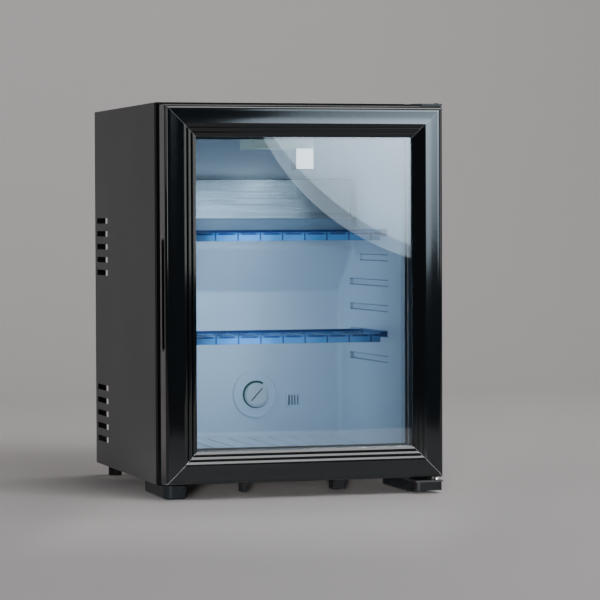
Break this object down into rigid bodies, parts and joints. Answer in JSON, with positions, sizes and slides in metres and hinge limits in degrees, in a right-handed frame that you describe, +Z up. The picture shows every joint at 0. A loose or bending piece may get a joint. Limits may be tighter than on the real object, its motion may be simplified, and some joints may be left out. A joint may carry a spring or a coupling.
{
  "type": "glass door minibar fridge",
  "caption": "Compact counter-top cooler with a mitred double-glazed door hinged on the right, lit white interior, slotted shelves and an open-backed absorption cooling unit.",
  "frame": {"origin": "bottom centre of the bounding box, on the surface the fridge stands on", "axes": "+Z up, -Y out through the door, +X to the hinge side"},
  "size_m": [0.402, 0.45, 0.551],
  "materials": {
    "cabinet_enamel": "satin charcoal enamel on sheet steel",
    "liner_plastic": "white vacuum-formed plastic",
    "insulation": "foamed in place",
    "galvanised_sheet": "zinc-coated sheet steel",
    "screw_steel": "zinc-plated steel",
    "frame_plastic": "black satin moulded plastic",
    "foot_rubber": "black rubber",
    "cold_plate_aluminium": "fine brushed lines along the width",
    "tray_plastic": "blue-grey moulded plastic",
    "lamp_plastic": "milky diffuser",
    "dial_plastic": "off-white moulded plastic",
    "unit_paint": "black stove paint",
    "box_plastic": "black moulded plastic",
    "door_gloss": "polished black",
    "handle_plastic": "black satin moulded plastic",
    "door_glass": "clear float glass",
    "spacer_aluminium": "satin extruded bar",
    "gasket_rubber": "black magnetic seal",
    "shelf_plastic": "clear blue-tinted moulded plastic"
  },
  "bodies": {
    "cabinet": {"left_side_panel": "cabinet_enamel", "right_side_panel": "cabinet_enamel", "top_panel": "cabinet_enamel", "bottom_panel": "cabinet_enamel", "rear_rail": "cabinet_enamel", "inner_liner": "liner_plastic", "foam_insulation": "insulation", "back_panel": "galvanised_sheet", "back_panel_screws": "screw_steel", "front_frame": "frame_plastic", "top_hinge_plate": "screw_steel", "top_hinge_screws": "screw_steel", "bottom_hinge_plate": "screw_steel", "hinge_washer": "screw_steel", "hinge_cover": "frame_plastic", "left_front_foot": "frame_plastic", "right_front_foot": "frame_plastic", "rear_foot_left": "foot_rubber", "rear_foot_right": "foot_rubber", "underside_rib": "frame_plastic", "underside_block": "frame_plastic", "evaporator_plate": "cold_plate_aluminium", "drip_tray": "tray_plastic", "lamp_housing": "lamp_plastic", "lamp_lens": "lamp_plastic", "thermostat_bezel": "liner_plastic", "thermostat_ring": "liner_plastic", "sensor_cover": "liner_plastic", "boiler_case": "unit_paint", "condenser_pipe": "unit_paint", "condenser_fins": "galvanised_sheet", "absorber_vessel": "unit_paint", "absorber_coil": "unit_paint", "heat_exchanger_pipe": "unit_paint", "unit_bracket": "galvanised_sheet", "control_box": "box_plastic", "cord_gland": "box_plastic"},
    "door": {"door_top_rail": "door_gloss", "door_bottom_rail": "door_gloss", "door_left_stile": "door_gloss", "door_right_stile": "door_gloss", "top_hinge_bush": "box_plastic", "bottom_hinge_bush": "box_plastic", "handle_cup": "handle_plastic", "outer_glass": "door_glass", "inner_glass": "door_glass", "glass_spacer": "spacer_aluminium", "door_back_trim": "handle_plastic", "door_gasket": "gasket_rubber"},
    "thermostat": {"thermostat_dial": "dial_plastic"},
    "upper_shelf_body": {"upper_shelf": "shelf_plastic"},
    "lower_shelf_body": {"lower_shelf": "shelf_plastic"}
  },
  "joints": [
    {"name": "door_hinge", "type": "hinge", "parent": "cabinet", "child": "door", "pos_m": [0.1965, -0.209, 0.0235], "axis": [0, 0, 1], "range_deg": [0, 120]},
    {"name": "thermostat_turn", "type": "hinge", "parent": "cabinet", "child": "thermostat", "pos_m": [0.0155, 0.09, 0.1255], "axis": [0, -1, 0], "range_deg": [-135, 135]},
    {"name": "upper_shelf_slide", "type": "slide", "parent": "cabinet", "child": "upper_shelf_body", "axis": [0, -1, 0], "range_m": [0, 0.075]},
    {"name": "lower_shelf_slide", "type": "slide", "parent": "cabinet", "child": "lower_shelf_body", "axis": [0, -1, 0], "range_m": [0, 0.075]}
  ]
}
